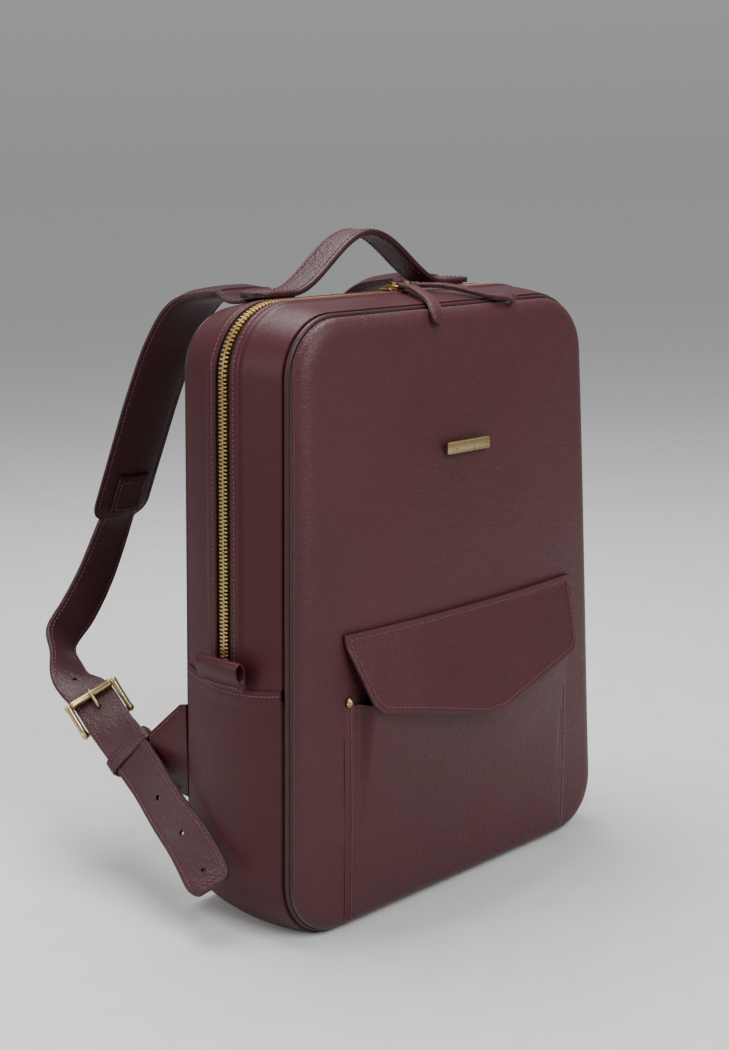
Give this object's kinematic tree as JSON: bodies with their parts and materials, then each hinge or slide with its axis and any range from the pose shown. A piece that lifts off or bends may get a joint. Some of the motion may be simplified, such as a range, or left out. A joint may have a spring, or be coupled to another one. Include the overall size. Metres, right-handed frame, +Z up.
{
  "type": "travel backpack",
  "caption": "Leather backpack with a domed front that unzips and folds down, a flapped front pocket, a top handle and buckled shoulder straps.",
  "frame": {"origin": "centre of the base, on the surface that the bag stands on", "axes": "+Z up, -Y out of the front, +X to the right when the front is seen"},
  "size_m": [0.3774, 0.3209, 0.4487],
  "materials": {
    "leather": "smooth pebbled burgundy leather, soft satin",
    "dark_leather": "darker burgundy leather, satin",
    "strap_leather": "burgundy strap leather with painted edges",
    "brass": "antique pale brass, brushed",
    "zip_brass": "antique brass zip teeth",
    "zip_tape": "woven dark burgundy zip tape",
    "lining": "plain woven lining",
    "board": "fibre stiffener board"
  },
  "bodies": {
    "shell": {"back_panel": "leather", "back_pad_left": "dark_leather", "back_pad_right": "dark_leather", "back_piping": "dark_leather", "rear_gusset": "leather", "base_gusset": "leather", "base_board": "board", "lining": "lining", "laptop_sleeve": "lining", "slip_pocket": "lining", "zip_tape_rear": "zip_tape", "zip_teeth_rear": "zip_brass", "gusset_foot": "leather", "zip_foot_tape": "zip_tape", "zip_foot_teeth": "zip_brass", "zip_tab_left": "leather", "zip_tab_right": "leather", "front_panel_lower": "leather", "front_piping_lower": "dark_leather", "pocket_sheet": "leather", "pocket_gusset_left": "dark_leather", "pocket_gusset_right": "dark_leather", "pocket_rivet_left": "brass", "pocket_rivet_right": "brass", "flap_root": "leather", "handle_base_left": "strap_leather", "handle_base_right": "strap_leather"},
    "cover": {"front_panel_upper": "leather", "front_piping_upper": "dark_leather", "front_gusset": "leather", "zip_tape_front": "zip_tape", "zip_teeth_front": "zip_brass", "name_plate": "brass"},
    "flap": {"pocket_flap": "leather"},
    "handle": {"handle_strap": "strap_leather"},
    "slider_left": {"slider_left": "brass"},
    "pull_left": {"pull_link_left": "brass", "pull_tab_left": "strap_leather"},
    "strap_left": {"strap_pad_left": "strap_leather", "pad_patch_left": "dark_leather", "strap_tail_left": "strap_leather", "base_strap_left": "strap_leather", "strap_anchor_left": "strap_leather", "buckle_frame_left": "brass"},
    "roller_left": {"buckle_roller_left": "brass"},
    "prong_left": {"buckle_prong_left": "brass"},
    "keeper_left": {"keeper_left": "strap_leather"},
    "slider_right": {"slider_right": "brass"},
    "pull_right": {"pull_link_right": "brass", "pull_tab_right": "strap_leather"},
    "strap_right": {"strap_pad_right": "strap_leather", "pad_patch_right": "dark_leather", "strap_tail_right": "strap_leather", "base_strap_right": "strap_leather", "strap_anchor_right": "strap_leather", "buckle_frame_right": "brass"},
    "roller_right": {"buckle_roller_right": "brass"},
    "prong_right": {"buckle_prong_right": "brass"},
    "keeper_right": {"keeper_right": "strap_leather"}
  },
  "joints": [
    {"name": "front_cover", "type": "hinge", "parent": "shell", "child": "cover", "pos_m": [0, -0.072, 0.204], "axis": [1, 0, 0], "range_deg": [0, 60]},
    {"name": "flap_lift", "type": "hinge", "parent": "shell", "child": "flap", "pos_m": [0, -0.073, 0.195], "axis": [-1, 0, 0], "range_deg": [0, 105]},
    {"name": "handle_tilt", "type": "hinge", "parent": "shell", "child": "handle", "pos_m": [0, 0.0285, 0.41], "axis": [1, 0, 0], "range_deg": [-20, 15]},
    {"name": "slider_run_left", "type": "slide", "parent": "cover", "child": "slider_left", "axis": [-1, 0, 0], "range_m": [0, 0.075]},
    {"name": "pull_lift_left", "type": "hinge", "parent": "slider_left", "child": "pull_left", "pos_m": [0.005, 0.003, 0.4101], "axis": [-1, 0, 0], "range_deg": [0, 75]},
    {"name": "strap_swing_left", "type": "hinge", "parent": "shell", "child": "strap_left", "pos_m": [-0.15, 0.051, 0.106], "axis": [-0.2155, 0.0033, -0.9765], "range_deg": [0, 15]},
    {"name": "roller_spin_left", "type": "hinge", "parent": "strap_left", "child": "roller_left", "pos_m": [-0.1525, 0.15438, 0.12451], "axis": [0.8333, -0.3367, 0.4384], "continuous": true},
    {"name": "prong_lift_left", "type": "hinge", "parent": "strap_left", "child": "prong_left", "pos_m": [-0.14867, 0.13991, 0.10612], "axis": [0.8333, -0.3367, 0.4384], "range_deg": [0, 6]},
    {"name": "keeper_run_left", "type": "slide", "parent": "strap_left", "child": "keeper_left", "axis": [0.1, 0.8753, 0.4732], "range_m": [-0.001, 0.001]},
    {"name": "slider_run_right", "type": "slide", "parent": "cover", "child": "slider_right", "axis": [1, 0, 0], "range_m": [0, 0.075]},
    {"name": "pull_lift_right", "type": "hinge", "parent": "slider_right", "child": "pull_right", "pos_m": [0.018, 0.003, 0.4101], "axis": [-1, 0, 0], "range_deg": [0, 75]},
    {"name": "strap_swing_right", "type": "hinge", "parent": "shell", "child": "strap_right", "pos_m": [0.15, 0.051, 0.106], "axis": [-0.2155, -0.0033, 0.9765], "range_deg": [0, 15]},
    {"name": "roller_spin_right", "type": "hinge", "parent": "strap_right", "child": "roller_right", "pos_m": [0.1525, 0.15438, 0.12451], "axis": [0.8333, 0.3367, -0.4384], "continuous": true},
    {"name": "prong_lift_right", "type": "hinge", "parent": "strap_right", "child": "prong_right", "pos_m": [0.14867, 0.13991, 0.10612], "axis": [0.8333, 0.3367, -0.4384], "range_deg": [0, 6]},
    {"name": "keeper_run_right", "type": "slide", "parent": "strap_right", "child": "keeper_right", "axis": [-0.1, 0.8753, 0.4732], "range_m": [-0.001, 0.001]}
  ]
}
